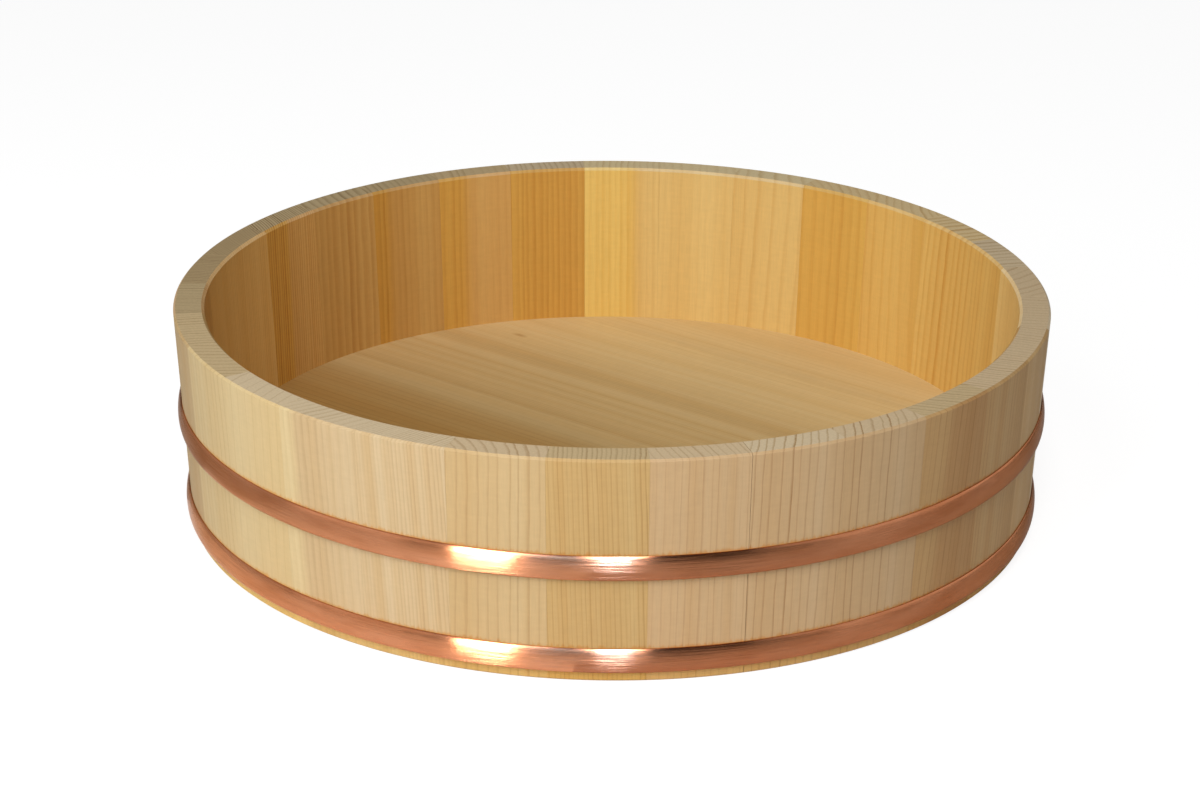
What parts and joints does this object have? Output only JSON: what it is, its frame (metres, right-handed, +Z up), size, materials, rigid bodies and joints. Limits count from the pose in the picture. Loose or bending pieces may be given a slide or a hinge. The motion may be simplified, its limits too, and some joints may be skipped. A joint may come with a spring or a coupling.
{
  "type": "sushi rice tub",
  "caption": "Low round open wooden tub of edge-jointed upright staves with half-round copper hoops and a pinned plank floor, for cooling and seasoning rice.",
  "frame": {"origin": "on the tub's axis, on the surface that its foot stands on", "axes": "+Z up along the tub's axis; -Y towards the side that the picture shows"},
  "size_m": [0.39, 0.39, 0.098],
  "materials": {
    "stave_wood": "planed and sanded, unvarnished pale softwood",
    "floor_wood": "planed and sanded, unvarnished pale softwood",
    "pin_bamboo": "whittled bamboo",
    "hoop_copper": "copper, brushed along the band"
  },
  "bodies": {
    "root": {"stave_01": "stave_wood", "stave_02": "stave_wood", "stave_03": "stave_wood", "stave_04": "stave_wood", "stave_05": "stave_wood", "stave_06": "stave_wood", "stave_07": "stave_wood", "stave_08": "stave_wood", "stave_09": "stave_wood", "stave_10": "stave_wood", "stave_11": "stave_wood", "stave_12": "stave_wood", "stave_13": "stave_wood", "stave_14": "stave_wood", "stave_15": "stave_wood", "stave_16": "stave_wood", "stave_17": "stave_wood", "stave_18": "stave_wood", "stave_19": "stave_wood", "stave_20": "stave_wood", "stave_21": "stave_wood", "stave_22": "stave_wood", "stave_23": "stave_wood", "stave_24": "stave_wood", "stave_25": "stave_wood", "stave_26": "stave_wood", "stave_27": "stave_wood", "stave_28": "stave_wood", "stave_29": "stave_wood", "stave_30": "stave_wood", "floor_plank_1": "floor_wood", "floor_plank_2": "floor_wood", "floor_plank_3": "floor_wood", "floor_plank_4": "floor_wood", "floor_pin_1": "pin_bamboo", "floor_pin_2": "pin_bamboo", "floor_pin_3": "pin_bamboo", "floor_pin_4": "pin_bamboo", "floor_pin_5": "pin_bamboo", "floor_pin_6": "pin_bamboo", "floor_pin_7": "pin_bamboo", "floor_pin_8": "pin_bamboo", "floor_pin_9": "pin_bamboo", "upper_hoop": "hoop_copper", "lower_hoop": "hoop_copper"}
  },
  "joints": []
}
